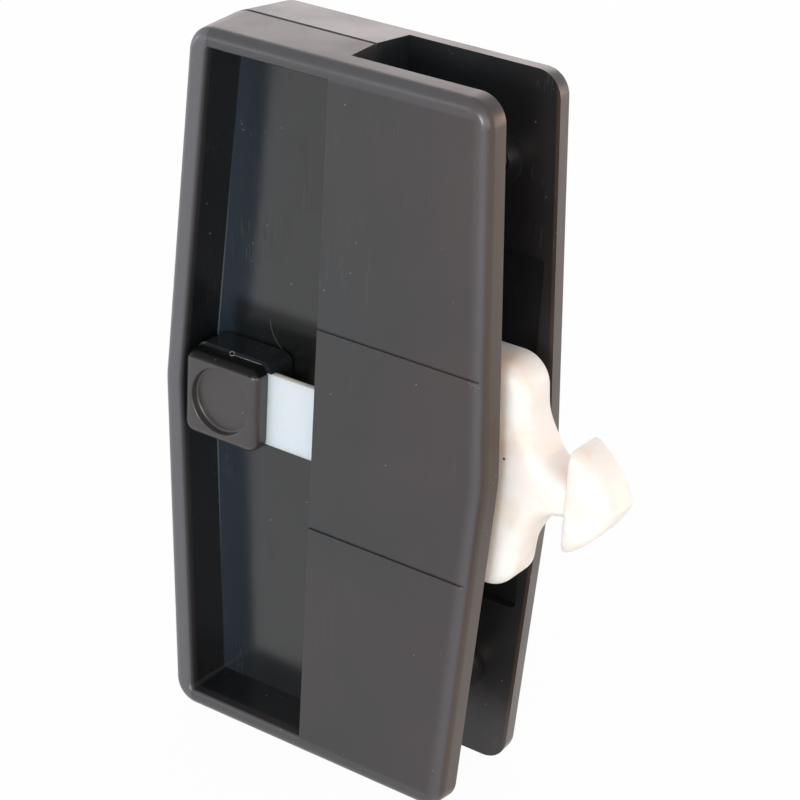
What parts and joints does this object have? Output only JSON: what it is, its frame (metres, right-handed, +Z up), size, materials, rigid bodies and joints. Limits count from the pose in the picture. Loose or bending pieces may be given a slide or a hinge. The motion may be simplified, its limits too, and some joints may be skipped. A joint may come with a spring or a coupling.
{
  "type": "screen door latch",
  "caption": "Clamp-on latch for a sliding screen door: two black finger-cup pulls, a thumb button and a white rocking hook.",
  "frame": {"origin": "midway between the two screws, on the face of the inside pull that presses on the stile", "axes": "+X from the finger cups towards the hook, +Y from the inside pull towards the outside one, +Z up"},
  "size_m": [0.0809, 0.0228, 0.1214],
  "materials": {
    "inside_pull": "satin black moulded plastic",
    "outside_pull": "satin black moulded plastic",
    "lever_nylon": "white nylon, as moulded",
    "button_cap": "satin black moulded plastic",
    "button_block": "glossy black moulded plastic",
    "pin_steel": "ground steel",
    "washer_steel": "zinc plated steel",
    "ring_steel": "phosphated spring steel",
    "spring_steel": "drawn spring wire",
    "screw_steel": "zinc plated steel"
  },
  "bodies": {
    "housing": {"front_half": "inside_pull", "rear_half": "outside_pull", "pivot_pin": "pin_steel", "pivot_washer": "washer_steel", "retaining_ring": "ring_steel", "centring_spring_upper": "spring_steel", "centring_spring_lower": "spring_steel", "stile_screw_upper": "screw_steel", "stile_screw_lower": "screw_steel"},
    "lever": {"latch_lever": "lever_nylon", "thumb_button": "button_cap", "button_block": "button_block"}
  },
  "joints": [
    {"name": "latch_rock", "type": "hinge", "parent": "housing", "child": "lever", "pos_m": [-0.003, 0.00685, -0.0016], "axis": [0, 1, 0], "range_deg": [-12, 12], "stiffness_Nm_per_rad": 0.05, "deforming": ["centring_spring_upper", "centring_spring_lower"]}
  ]
}
